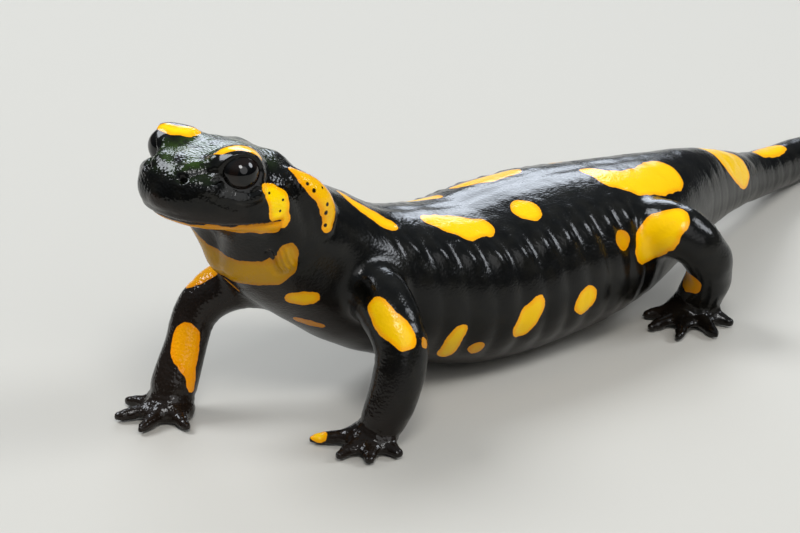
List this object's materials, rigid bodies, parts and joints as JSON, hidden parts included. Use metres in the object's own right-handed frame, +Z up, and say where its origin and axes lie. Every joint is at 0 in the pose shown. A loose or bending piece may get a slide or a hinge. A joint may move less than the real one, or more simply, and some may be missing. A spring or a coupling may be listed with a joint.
{
  "type": "fire salamander",
  "caption": "Life-size fire salamander, glossy black with yellow spots, standing on straight forelegs with its head raised and its tail laid on the floor.",
  "frame": {"origin": "middle of the belly's flat on the floor", "axes": "+Z up, -Y the way the head faces, +X the animal's left; the tail trails along +Y"},
  "size_m": [0.0488, 0.1626, 0.041],
  "materials": {
    "skin": "smooth wet black skin with yellow spots",
    "eye": "clear wet eyeball, nearly black"
  },
  "bodies": {
    "root": {"head": "skin", "lower_jaw": "skin", "eye_left": "eye", "eye_right": "eye", "neck": "skin", "trunk_front": "skin", "trunk_rear": "skin", "tail_base": "skin", "tail_middle": "skin", "tail_tip": "skin", "fore_left_upper": "skin", "fore_left_lower": "skin", "fore_left_foot": "skin", "fore_right_upper": "skin", "fore_right_lower": "skin", "fore_right_foot": "skin", "hind_left_upper": "skin", "hind_left_lower": "skin", "hind_left_foot": "skin", "hind_right_upper": "skin", "hind_right_lower": "skin", "hind_right_foot": "skin"}
  },
  "joints": []
}
